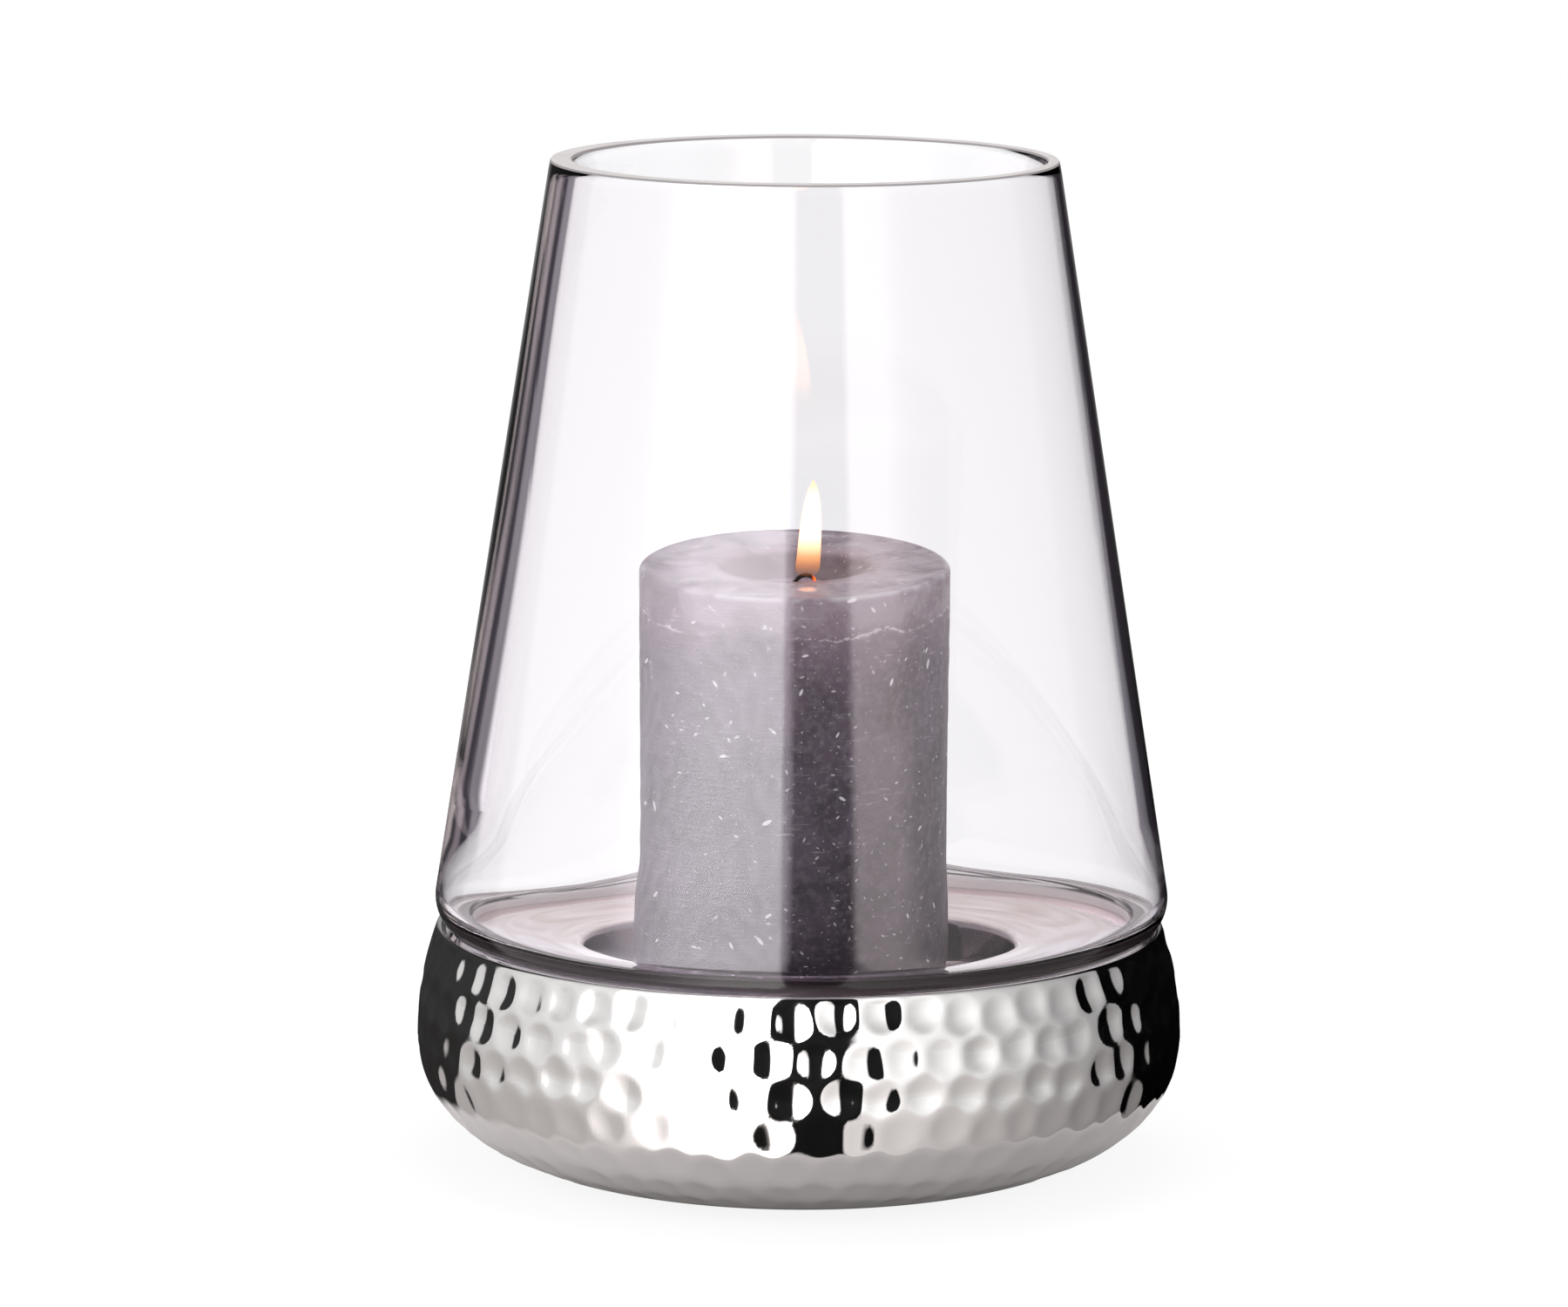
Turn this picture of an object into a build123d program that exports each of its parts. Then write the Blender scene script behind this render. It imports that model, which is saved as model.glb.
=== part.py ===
from build123d import *
import math
import os

# Hurricane candle lantern: a hollow ceramic base with a tray and a candle well,
# a loose conical glass shade that stands on a seat inside the base's lip, a
# pillar candle in the well, and felt pads under the foot ring.
# Millimetres, +Z up. The origin is where the lantern's axis meets the table.
# Outlines are drawn as (radius, height) and turned about the axis.

# Heights above the table
lantern_height = 259.5      # ground rim of the shade
seat_height = 60.0          # flat seat that the shade stands on
belly_height = 33.5         # widest ring of the base
well_floor_height = 39.0    # floor that the candle stands on
tray_fall = 2.8             # fall of the tray from the seat to the well's mouth

# Shade
shade_radius = 94.5         # widest ring of the glass, just above its heel
mouth_radius = 64.8         # outside of the ground rim
shade_wall = 5.0
heel_round = 10.0           # outside round of the tucked-in heel
heel_ground_off = 0.6       # how much of the heel is ground flat
heel_toe = 1.5              # how far the heel reaches in past the centre of its round
ground_edge = 0.6           # broken edges of the ground faces
shade_offset = 0.5          # along X: it was set down a little off the axis

# Base
base_wall = 5.0             # wall of the cast body
belly_overhang = 4.9        # how far the belly stands out beyond the lip
lip_round = 1.0             # round of the lip's crest, half its thickness
lip_rise = 0.9              # centre of that round above the seat
lip_clearance = 0.9         # lip to heel, when the shade stands on the axis
seat_margin = 2.0           # seat inside the heel's ground ring
seat_corner = 0.7           # fillet between the seat and the lip
well_clearance = 14.5       # room round the candle at the well's mouth
well_draft = 2.0            # how much narrower the well is at its floor
well_mouth_round = 2.6
well_floor_round = 4.0
cavity_round = 3.0
foot_radius = 63.0          # where the foot ring meets the belly
foot_ring_width = 13.0
foot_edge = 1.0

# Felt pads
pad_count = 4
pad_radius = 4.5
pad_height = 1.0

# Candle
candle_radius = 40.0
candle_length = 116.0       # along its axis, to the height of its tilted rim there
candle_offset = -2.1        # along X: it was set down a little off the axis
candle_tilt = 4.0           # degrees that its rim leans down towards the front
candle_top_round = 3.0
candle_foot_round = 1.5
bowl_radius = 20.5          # burn bowl
bowl_depth = 6.5
wick_radius = 0.9
wick_clearance = 0.05
wick_recess = 1.0           # end of the wick above the candle's foot
wick_rise = 0.3             # straight part of the wick above the burn bowl
wick_bend_radius = 3.0
wick_bend = 140.0           # degrees that the burnt end is hooked over

# Places worked out from the sizes
foot_height = pad_height
well_radius = candle_radius + well_clearance
foot_inner_radius = foot_radius - foot_ring_width
pad_ring_radius = foot_radius - foot_ring_width / 2
heel_centre = (shade_radius - heel_round, seat_height - heel_ground_off + heel_round)
heel_cut = math.degrees(math.asin((heel_centre[1] - seat_height) / heel_round))
shade_bore = heel_centre[0] - heel_toe
seat_inner_radius = shade_bore - seat_margin
lip_height = seat_height + lip_rise
lip_reach = heel_round + lip_clearance + lip_round
lip_radius = heel_centre[0] + math.sqrt(lip_reach ** 2 - (heel_centre[1] - lip_height) ** 2)
belly_radius = lip_radius + lip_round + belly_overhang
well_mouth_height = seat_height - tray_fall
candle_top = well_floor_height + candle_length
bowl_floor = candle_top - bowl_depth


def arc_point(centre, radius, degrees):
    """Point of a circle at an angle from the outward direction."""
    angle = math.radians(degrees)
    return (centre[0] + radius * math.cos(angle), centre[1] + radius * math.sin(angle))


def round_corners(face, corners, size, cut=fillet):
    """Fillet or chamfer the face's corners at the given points."""
    chosen = [face.vertices().sort_by_distance(corner)[0] for corner in corners]
    return cut(chosen, size)


def turned(face):
    """Solid of revolution of a (radius, height) face about the lantern's axis."""
    return revolve(Plane.XZ * face, axis=Axis.Z)


def belly_curve(inset):
    """Lower belly from the foot ring to the widest ring, moved into the wall by inset."""
    foot = (foot_radius, foot_height + inset)
    widest = (belly_radius - inset, belly_height)
    reach, rise = widest[0] - foot[0], widest[1] - foot[1]
    low_pull = (foot[0] + 0.5 * reach, foot[1] + 0.08 * rise)
    high_pull = (widest[0], widest[1] - 0.6 * rise)
    return Bezier(foot, low_pull, high_pull, widest)


# Side of the base above its widest ring: an arc that is upright there and runs
# tangent into the lip's crest.
side_rise = lip_height - belly_height
side_run = belly_radius - lip_radius
side_radius = (side_run ** 2 + side_rise ** 2 - lip_round ** 2) / (2 * belly_overhang)
side_centre = (belly_radius - side_radius, belly_height)
side_angle = math.degrees(math.atan2(side_rise, lip_radius - side_centre[0]))


def base_body():
    """Cast body: tray, well, seat, lip, hammered wall, foot ring and the hollow inside."""
    floor_corner = (well_radius - well_draft, well_floor_height)
    mouth_corner = (well_radius, well_mouth_height)
    tray_start = (well_radius + 2 * well_mouth_round, well_mouth_height)
    tray_end = (seat_inner_radius, seat_height)
    tray_pull = 0.4 * (tray_end[0] - tray_start[0])
    seat_end = (lip_radius - lip_round, seat_height)
    lip_centre = (lip_radius, lip_height)
    lip_inside = (lip_radius - lip_round, lip_height)

    under_floor = well_floor_height - base_wall
    under_floor_corner = (floor_corner[0] + base_wall, under_floor)
    under_mouth_corner = (well_radius + base_wall, well_mouth_height - base_wall)
    inner_side_radius = side_radius - base_wall
    under_seat_rise = seat_height - base_wall - belly_height
    under_seat_angle = math.degrees(math.asin(under_seat_rise / inner_side_radius))
    under_seat_corner = arc_point(side_centre, inner_side_radius, under_seat_angle)
    foot_outer = (foot_radius, foot_height)
    foot_bottom_corner = (foot_inner_radius, foot_height)
    foot_top_corner = (foot_inner_radius, foot_height + base_wall)

    outside = [
        Polyline((0, under_floor), (0, well_floor_height), floor_corner, mouth_corner, tray_start),
        Bezier(tray_start, (tray_start[0] + tray_pull, tray_start[1]),
               (tray_end[0] - tray_pull, tray_end[1]), tray_end),
        Polyline(tray_end, seat_end, lip_inside),
        CenterArc(lip_centre, lip_round, side_angle, 180 - side_angle),
        CenterArc(side_centre, side_radius, 0, side_angle),
        belly_curve(0),
        Polyline(foot_outer, foot_bottom_corner, foot_top_corner, (foot_radius, foot_height + base_wall)),
    ]
    inside = [
        belly_curve(base_wall),
        CenterArc(side_centre, inner_side_radius, 0, under_seat_angle),
        Polyline(under_seat_corner, under_mouth_corner, under_floor_corner, (0, under_floor)),
    ]
    face = make_face(Curve() + outside + inside)
    face = round_corners(face, [floor_corner], well_floor_round)
    face = round_corners(face, [mouth_corner], well_mouth_round)
    face = round_corners(face, [seat_end], seat_corner)
    face = round_corners(face, [under_seat_corner, under_mouth_corner, under_floor_corner], cavity_round)
    face = round_corners(face, [foot_bottom_corner, foot_top_corner], foot_edge)
    return turned(face)


def glass_shade():
    """Blown cone with a ground rim; its heel turns in to a ground ring that stands on the seat."""
    rise, run = lantern_height - heel_centre[1], mouth_radius - heel_centre[0]
    lean = math.atan2(rise, run) - math.acos(heel_round / math.hypot(run, rise))
    lean_degrees = math.degrees(lean)
    inner_round = heel_round - shade_wall
    rim_outside = (mouth_radius, lantern_height)
    rim_inside = (mouth_radius - shade_wall / math.cos(lean), lantern_height)
    toe_bottom = (shade_bore, seat_height)
    toe_top = (shade_bore, heel_centre[1] - inner_round)
    edges = [
        Line(rim_outside, arc_point(heel_centre, heel_round, lean_degrees)),
        CenterArc(heel_centre, heel_round, -heel_cut, heel_cut + lean_degrees),
        Polyline(arc_point(heel_centre, heel_round, -heel_cut), toe_bottom, toe_top,
                 arc_point(heel_centre, inner_round, -90)),
        CenterArc(heel_centre, inner_round, -90, 90 + lean_degrees),
        Polyline(arc_point(heel_centre, inner_round, lean_degrees), rim_inside, rim_outside),
    ]
    face = make_face(Curve() + edges)
    face = round_corners(face, [rim_outside, rim_inside, toe_bottom, toe_top], ground_edge, chamfer)
    return Pos(shade_offset, 0, 0) * turned(face)


def candle_axis(height):
    """Place on the candle's own axis."""
    return Pos(candle_offset, 0, height)


def candle_wax():
    """Pillar with a tilted, softened rim, a burn bowl and a bore that the wick fills."""
    spare = candle_radius
    upright = (Align.CENTER, Align.CENTER, Align.MIN)
    wax = candle_axis(well_floor_height) * Cylinder(candle_radius, candle_length + spare, align=upright)
    above_rim = Box(4 * candle_radius, 4 * candle_radius, 4 * spare, align=upright)
    wax -= candle_axis(candle_top) * Rot(candle_tilt, 0, 0) * above_rim
    rings = wax.edges().filter_by(GeomType.LINE, reverse=True).sort_by(Axis.Z)
    wax = fillet(rings[-1], candle_top_round)
    foot = wax.edges().filter_by(GeomType.CIRCLE).sort_by(Axis.Z)[0]
    wax = fillet(foot, candle_foot_round)
    bowl_sphere = (bowl_radius ** 2 + bowl_depth ** 2) / (2 * bowl_depth)
    wax -= candle_axis(bowl_floor + bowl_sphere) * Sphere(bowl_sphere)
    bore_radius = wick_radius + wick_clearance
    wax -= candle_axis(well_floor_height) * Cylinder(bore_radius, candle_length, align=upright)
    return wax


def wick():
    """Braided wick along the candle's axis, with its burnt end hooked over along +X."""
    start = (candle_offset, 0, well_floor_height + wick_recess)
    bend_start = (candle_offset, 0, bowl_floor + wick_rise)
    straight = Line(start, bend_start)
    hook_plane = Plane(origin=bend_start, x_dir=(1, 0, 0), z_dir=(0, -1, 0))
    hook = hook_plane * JernArc((0, 0), (0, 1), wick_bend_radius, -wick_bend)
    section = Plane(origin=start, z_dir=(0, 0, 1)) * Circle(wick_radius)
    return sweep(section, path=Curve() + [straight, hook])


def felt_pad(index):
    """Felt dot under the foot ring; the front stays free of them."""
    angle = 360 / pad_count * (index + 0.5)
    place = Rot(0, 0, angle) * Pos(pad_ring_radius, 0, 0)
    return place * Cylinder(pad_radius, pad_height, align=(Align.CENTER, Align.CENTER, Align.MIN))


pieces = {
    "base_body": base_body(),
    "glass_shade": glass_shade(),
    "candle_wax": candle_wax(),
    "wick": wick(),
}
for index in range(pad_count):
    pieces[f"felt_pad_{index + 1}"] = felt_pad(index)

os.makedirs("parts", exist_ok=True)
for name, piece in pieces.items():
    piece.label = name
    export_step(piece, f"parts/{name}.step")
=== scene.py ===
import math

import bpy
import numpy as np
from bpy.props import FloatProperty, FloatVectorProperty, IntProperty, PointerProperty
from bpy.types import Operator, Panel, PropertyGroup
from mathutils import Matrix, Vector


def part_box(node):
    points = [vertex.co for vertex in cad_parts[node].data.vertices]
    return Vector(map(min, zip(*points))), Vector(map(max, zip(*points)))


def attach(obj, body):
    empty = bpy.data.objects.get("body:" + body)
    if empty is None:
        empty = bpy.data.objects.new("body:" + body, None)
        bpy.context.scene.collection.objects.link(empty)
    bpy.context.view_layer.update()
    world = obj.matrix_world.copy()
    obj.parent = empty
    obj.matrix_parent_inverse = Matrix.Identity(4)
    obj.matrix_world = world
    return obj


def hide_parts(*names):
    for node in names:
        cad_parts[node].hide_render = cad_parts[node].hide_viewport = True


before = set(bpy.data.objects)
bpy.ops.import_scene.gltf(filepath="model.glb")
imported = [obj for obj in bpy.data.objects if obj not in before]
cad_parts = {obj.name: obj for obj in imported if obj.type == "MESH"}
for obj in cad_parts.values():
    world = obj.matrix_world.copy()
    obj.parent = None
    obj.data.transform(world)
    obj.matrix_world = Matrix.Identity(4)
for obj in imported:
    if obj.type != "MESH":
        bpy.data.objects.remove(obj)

bl_info = {
    "name": "Hurricane Candle Lantern",
    "version": (1, 0, 0),
    "blender": (4, 5, 0),
    "location": "3D View > Sidebar > Lantern",
    "description": "Hammered lustre base, blown glass shade and a burning pillar candle",
    "category": "Object",
}

MM = 0.001
BASE_LOW, BASE_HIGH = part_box("base_body")
SHADE_LOW, SHADE_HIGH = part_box("glass_shade")
WAX_LOW, WAX_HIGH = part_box("candle_wax")
SHADE_CENTRE = 0.5 * (SHADE_HIGH.x + SHADE_LOW.x)
WAX_CENTRE = 0.5 * (WAX_HIGH.x + WAX_LOW.x)
WAX_RADIUS = 0.5 * (WAX_HIGH.x - WAX_LOW.x)


def length(name, description, millimetres):
    """A length setting in metres, from its value in millimetres."""
    return FloatProperty(name=name, description=description, default=millimetres * MM,
                         subtype="DISTANCE", unit="LENGTH", precision=5)


def angle(name, description, degrees):
    """An angle setting in radians, from its value in degrees."""
    return FloatProperty(name=name, description=description, default=math.radians(degrees),
                         subtype="ANGLE", unit="ROTATION")


def colour(name, description, red, green, blue):
    """A linear colour setting."""
    return FloatVectorProperty(name=name, description=description, default=(red, green, blue),
                               subtype="COLOR", size=3, min=0.0, max=1.0)


def amount(name, description, value):
    """A setting without a unit, of zero or more."""
    return FloatProperty(name=name, description=description, default=value, min=0.0)


class BaseSettings(PropertyGroup):
    """Sizes and colours of the hammered base."""
    wall: length("Wall", "Wall of the cast body", 5.0)
    foot_radius: length("Foot radius", "Where the foot ring meets the belly", 63.0)
    foot_width: length("Foot ring width", "Width of the flat foot ring", 13.0)
    foot_edge: length("Foot edge", "Round of the foot ring's inner edges", 1.0)
    belly_height: length("Belly height", "Height of the widest ring", 33.5)
    lip_radius: length("Lip radius", "Radius of the crest of the lip", 92.83)
    lip_round: length("Lip round", "Round of the lip's crest", 1.0)
    lip_rise: length("Lip rise", "Centre of the crest's round above the seat", 0.9)
    seat_height: length("Seat height", "Seat that the shade stands on", 60.0)
    seat_radius: length("Seat radius", "Inner edge of the seat", 81.0)
    seat_corner: length("Seat corner", "Fillet between the seat and the lip", 0.7)
    tray_fall: length("Tray fall", "Fall of the tray from the seat to the well", 2.8)
    well_radius: length("Well radius", "Radius of the candle well at its mouth", 54.5)
    well_draft: length("Well draft", "How much narrower the well is at its floor", 2.0)
    well_floor: length("Well floor", "Height of the floor that the candle stands on", 39.0)
    mouth_round: length("Mouth round", "Round of the well's mouth", 2.6)
    floor_round: length("Floor round", "Round between the well's wall and floor", 4.0)
    dimples: IntProperty(name="Dimples", description="Hammer marks in one row", default=57, min=8)
    row_gap: length("Row gap", "Distance between rows of hammer marks", 9.9)
    first_row: length("First row", "First full row of hammer marks below the lip", 5.3)
    dimple_depth: length("Dimple depth", "Depth of a hammer mark", 0.95)
    lustre: colour("Lustre", "Colour of the metal lustre", 0.70, 0.685, 0.68)


class ShadeSettings(PropertyGroup):
    """Sizes and colour of the glass shade."""
    mouth_radius: length("Mouth radius", "Outside of the ground rim", 64.8)
    wall: length("Wall", "Wall of the blown cone at its rim", 4.4)
    low_wall: length("Low wall", "Wall of the blown cone above its heel", 6.3)
    heel_wall: length("Heel wall", "Wall of the heel", 5.0)
    heel_round: length("Heel round", "Outside round of the tucked-in heel", 10.0)
    heel_ground: length("Heel ground off", "How much of the heel is ground flat", 0.6)
    heel_toe: length("Heel toe", "How far the heel reaches in past its round", 1.5)
    ground_edge: length("Ground edge", "Broken edges of the ground faces", 0.6)
    uneven: length("Uneven", "How much thicker one side of the wall is", 1.3)
    tint: colour("Tint", "Colour of the glass", 0.975, 0.968, 0.980)


class CandleSettings(PropertyGroup):
    """Sizes and colours of the candle."""
    tilt: angle("Rim tilt", "How far the rim leans down towards the front", 4.0)
    rim_height: length("Rim height", "Height of the rim at the candle's axis", 155.0)
    rim_round: length("Rim round", "Round of the melted rim", 1.7)
    foot_round: length("Foot round", "Round of the candle's foot", 1.5)
    bowl_radius: length("Bowl radius", "Radius of the burn bowl", 20.5)
    bowl_depth: length("Bowl depth", "Depth of the burn bowl", 7.2)
    liquid_height: length("Liquid height", "Level of the liquid wax", 149.3)
    wick_radius: length("Wick radius", "Radius of the braided wick", 0.62)
    wax: colour("Wax", "Colour of the dyed wax", 0.108, 0.084, 0.104)
    bloom: colour("Bloom", "Colour of the pale bloom on the wax", 0.42, 0.39, 0.42)
    fleck: colour("Fleck", "Colour of the white flecks and scratches", 0.80, 0.77, 0.79)
    glow: colour("Glow", "Light of the flame inside the wax", 0.62, 0.44, 0.50)
    heat: amount("Heat", "Level of the flame's light inside the wax", 0.19)


class FlameSettings(PropertyGroup):
    """Sizes and light of the flame."""
    base_height: length("Flame base", "Height where the flame starts", 151.6)
    height: length("Flame height", "Length of the flame", 25.0)
    half_width: length("Flame half width", "Half width of the flame's widest part", 3.2)
    lean: length("Flame lean", "How far the tip stands to the right of the start", 1.75)
    strength: amount("Strength", "Light of the flame's body", 6.5)


class StageSettings(PropertyGroup):
    """Place of the camera and level of the lights."""
    camera_distance: length("Camera distance", "Camera in front of the lantern's axis", 1871.8)
    camera_height: length("Camera height", "Camera above the table", 446.2)
    camera_pitch: angle("Camera pitch", "How far the camera looks down", 9.53)
    camera_turn: angle("Camera turn", "How far the camera looks to the left", 0.1305)
    camera_roll: angle("Camera roll", "How far the camera is turned about its line of sight", 0.25)
    lens: FloatProperty(name="Lens", description="Focal length in millimetres", default=169.54,
                        subtype="DISTANCE_CAMERA")
    floor_radius: length("Floor radius", "Radius of the pale floor", 2500.0)
    lamp_power: FloatProperty(name="Lamp power", description="Power of each soft lamp", default=7.0,
                              subtype="POWER", unit="POWER")


class LanternSettings(PropertyGroup):
    """All settings of the lantern."""
    base: PointerProperty(type=BaseSettings)
    shade: PointerProperty(type=ShadeSettings)
    candle: PointerProperty(type=CandleSettings)
    flame: PointerProperty(type=FlameSettings)
    stage: PointerProperty(type=StageSettings)


# Outlines: rows of (radius, height)

def arc(centre, radius, start, end, count):
    """Points of a circle from one angle to another, in degrees from the outward direction."""
    turn = np.radians(np.linspace(start, end, count))
    return np.column_stack((centre[0] + radius * np.cos(turn), centre[1] + radius * np.sin(turn)))


def straight(start, end, count):
    """Points of a line, closer together near its ends by half a cosine wave."""
    share = (1 - np.cos(np.linspace(0, math.pi, count))) / 2
    return np.array(start) + share[:, None] * (np.array(end) - np.array(start))


def bezier(points, count):
    """Points of a cubic Bezier curve: its four points weighted by (1-t)^3, 3t(1-t)^2, 3t^2(1-t), t^3."""
    t = np.linspace(0, 1, count)[:, None]
    a, b, c, d = np.array(points)
    return (1 - t) ** 3 * a + 3 * t * (1 - t) ** 2 * b + 3 * t ** 2 * (1 - t) * c + t ** 3 * d


def fillet(before, corner, after, radius, count):
    """Arc tangent to the two lines that meet at a corner, at radius / tan(half their angle) from it."""
    corner = np.array(corner, float)
    back = np.array(before) - corner
    ahead = np.array(after) - corner
    back, ahead = back / np.linalg.norm(back), ahead / np.linalg.norm(ahead)
    half = math.acos(np.clip(back @ ahead, -1, 1)) / 2
    middle = (back + ahead) / np.linalg.norm(back + ahead)
    centre = corner + middle * radius / math.sin(half)
    reach = radius / math.tan(half)
    first, last = corner + back * reach - centre, corner + ahead * reach - centre
    share = np.linspace(0, 1, count)[:, None]
    swing = math.pi - 2 * half
    return centre + (np.sin((1 - share) * swing) * first + np.sin(share * swing) * last) / math.sin(swing)


def joined(*runs):
    """Runs of points one after another, with points that coincide taken out."""
    points = np.concatenate([np.atleast_2d(run) for run in runs])
    step = np.linalg.norm(np.diff(points, axis=0), axis=1)
    return points[np.concatenate(([True], step > 1e-7))]


def outward_normals(outline):
    """Unit normals to the right of an outline's direction: its central differences turned by 90 degrees."""
    step = np.gradient(outline, axis=0)
    normal = np.column_stack((step[:, 1], -step[:, 0]))
    return normal / np.linalg.norm(normal, axis=1)[:, None]


def walked(path):
    """Length of a path from its first point to each of its points."""
    return np.concatenate(([0], np.cumsum(np.linalg.norm(np.diff(path, axis=0), axis=1))))


# Surfaces

def full_turn(columns):
    """Angles of the columns of a closed ring."""
    return np.linspace(0, 2 * math.pi, columns, endpoint=False)


def swing_grid(radius, height, turns, centre_x=0.0):
    """Grid of points (x0 + r cos a, r sin a, z) for radii r, heights z and angles a by row and column."""
    radius, height, turns = np.broadcast_arrays(radius, height, turns)
    return np.stack((centre_x + radius * np.cos(turns), radius * np.sin(turns), height), axis=-1)


def turned(outline, turns, centre_x=0.0):
    """Grid of an outline turned about the upright line through x0."""
    return swing_grid(outline[:, :1], outline[:, 1:], turns, centre_x)


def wander(turns, along, seed, waves, slow, fast, most_turns):
    """Sum of random waves cos(n a + k s + p), n whole so that the ring closes, scaled to unit deviation.

    Waves run from slow to fast radians per metre along s, with up to most_turns round the ring."""
    draw = np.random.default_rng(seed)
    count = draw.integers(-most_turns, most_turns + 1, waves)
    rate = draw.uniform(slow, fast, waves)
    phase = draw.uniform(0, 2 * math.pi, waves)
    total = np.cos(turns[..., None] * count + along[..., None] * rate + phase).sum(axis=-1)
    return total * math.sqrt(2 / waves)


def soft_least(first, second, width):
    """Smooth minimum of two surfaces: -w log(exp(-a / w) + exp(-b / w))."""
    return -width * np.logaddexp(-first / width, -second / width)


def tube_points(path, radius, columns):
    """Rings of a tube: path point + r (cos a u + sin a v), v along +Y and u square to v and the path."""
    tangent = np.gradient(path, axis=0)
    tangent /= np.linalg.norm(tangent, axis=1)[:, None]
    side = np.array((0.0, 1.0, 0.0))
    cross = np.cross(tangent, side)
    turns = full_turn(columns)
    ring = np.cos(turns)[None, :, None] * cross[:, None] + np.sin(turns)[None, :, None] * side
    return path[:, None] + radius * ring


def signed_volume(vertices, quads, triangles):
    """Sum of a . (b x c) / 6 over the triangles: positive when the faces point outwards."""
    split = np.concatenate((quads[:, [0, 1, 2]], quads[:, [0, 2, 3]], triangles))
    a, b, c = (vertices[split[:, corner]] for corner in range(3))
    return float((a * np.cross(b, c)).sum() / 6)


def grid_object(name, points, loop_rows=False, first_pole=None, last_pole=None):
    """Mesh object of a grid whose columns close into rings.

    The rows close too when loop_rows is set; otherwise a pole closes each end that has one with a fan."""
    rows, columns = points.shape[:2]
    row = np.arange(rows if loop_rows else rows - 1)[:, None]
    column = np.arange(columns)[None, :]
    next_row, next_column = (row + 1) % rows, (column + 1) % columns
    corners = (row * columns + column, row * columns + next_column,
               next_row * columns + next_column, next_row * columns + column)
    quads = np.stack(corners, axis=-1).reshape(-1, 4)
    vertices = points.reshape(-1, 3)
    fans = []
    ring = np.arange(columns)
    for pole, start, order in ((first_pole, 0, -1), (last_pole, (rows - 1) * columns, 1)):
        if pole is not None:
            tip = np.full(columns, len(vertices))
            vertices = np.vstack((vertices, pole))
            pair = (ring, np.roll(ring, -1))[::order]
            fans.append(np.stack((start + pair[0], start + pair[1], tip), axis=-1))
    triangles = np.concatenate(fans) if fans else np.zeros((0, 3), int)
    if signed_volume(vertices, quads, triangles) < 0:
        quads, triangles = quads[:, ::-1], triangles[:, ::-1]
    mesh = bpy.data.meshes.new(name)
    mesh.from_pydata(vertices.tolist(), [], quads.tolist() + triangles.tolist())
    mesh.shade_smooth()
    mesh.update()
    piece = bpy.data.objects.new(name, mesh)
    bpy.context.scene.collection.objects.link(piece)
    return piece


# Base

BASE_COLUMNS = 560
POLE_GAP = 0.5 * MM             # radius of the ring round each pole of the base
HIDDEN_ROUND = 3 * MM           # rounds of the hidden underside of the tray and the well
MARK_SHARES = (0.0, 1.0, 1.0, 1.0, 0.9, 0.7, 0.6, 0.45)     # depth of each row of marks, from the lip down
MARK_DEPTHS = (0.72, 1.22)      # shallowest and deepest mark, as shares of the row's depth
MARK_STRAY = 0.10               # how far hand work moves a mark, as a share of the pitch
MARK_REACH = 0.56               # radius of a hollow, as a share of the row gap
MARK_SHARPNESS = 1.25           # k of the weights that blend the hollows
MARK_PHASE = 0.42               # turn of the first row, in marks
MARK_SKIRT = -0.15              # lowest level of a paraboloid beyond its hollow, as a share of its depth
PROUD = 0.02 * MM               # how far a ridge may stand out


def hammer_marks(turns, along, radius, s):
    """How far the wall is carved in at each point: hollows on a staggered grid of rows below the lip.

    Each hollow is a paraboloid depth (1 - d^2 / r^2) of the distance d to its centre. Neighbours are blended
    with weights exp(-k d^2 / r^2), which rounds the ridges between them, and hand work moves every centre
    and changes every depth a little."""
    draw = np.random.default_rng(11)
    pitch = 2 * math.pi / s.dimples
    reach = s.row_gap * MARK_REACH
    weight_sum = np.zeros_like(turns)
    carved = np.zeros_like(turns)
    for row, share in enumerate(MARK_SHARES):
        row_along = s.first_row + (row - 1) * s.row_gap
        sideways = draw.normal(0, MARK_STRAY, s.dimples) * pitch
        endways = draw.normal(0, MARK_STRAY, s.dimples) * s.row_gap
        depth = s.dimple_depth * share * draw.uniform(*MARK_DEPTHS, s.dimples)
        phase = MARK_PHASE + (row % 2) * 0.5
        nearest = np.floor(turns / pitch - phase)
        for side in (-1, 0, 1, 2):
            index = (nearest + side).astype(int)
            held = index % s.dimples
            centre = (index + phase) * pitch + sideways[held]
            square = ((turns - centre) * radius) ** 2 + (along - row_along - endways[held]) ** 2
            square = square / reach ** 2
            weight = np.exp(-MARK_SHARPNESS * square)
            weight_sum += weight
            carved += weight * depth[held] * np.clip(1 - square, MARK_SKIRT, 1)
    return np.clip(carved / np.maximum(weight_sum, 1e-12), -PROUD, None)


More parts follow.
